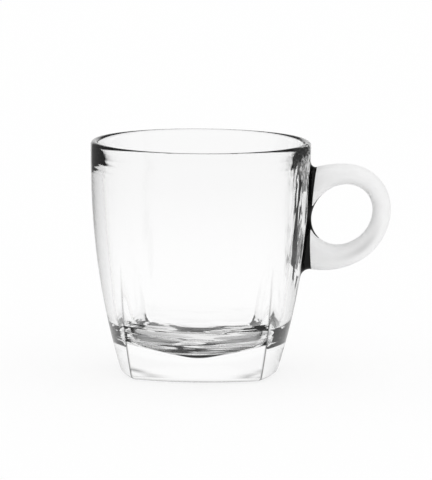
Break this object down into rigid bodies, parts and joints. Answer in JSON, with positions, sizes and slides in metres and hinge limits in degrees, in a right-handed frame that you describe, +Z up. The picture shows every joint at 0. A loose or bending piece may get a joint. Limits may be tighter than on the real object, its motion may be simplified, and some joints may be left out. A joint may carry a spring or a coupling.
{
  "type": "glass cappuccino cup",
  "caption": "Clear glass coffee cup with a round rim, a bulged square foot with a thick solid base, and a fused ring handle for one finger.",
  "frame": {"origin": "middle of the flat foot, on the axis of the bowl", "axes": "+Z up along the axis to the mouth, +X from the axis through the handle, +Y to the back"},
  "size_m": [0.1023, 0.075, 0.079],
  "materials": {
    "clear_glass": "clear, fire polished",
    "satin_glass": "satin, softly frosted"
  },
  "bodies": {
    "root": {"cup_body": "clear_glass", "ring_handle": "satin_glass"}
  },
  "joints": []
}
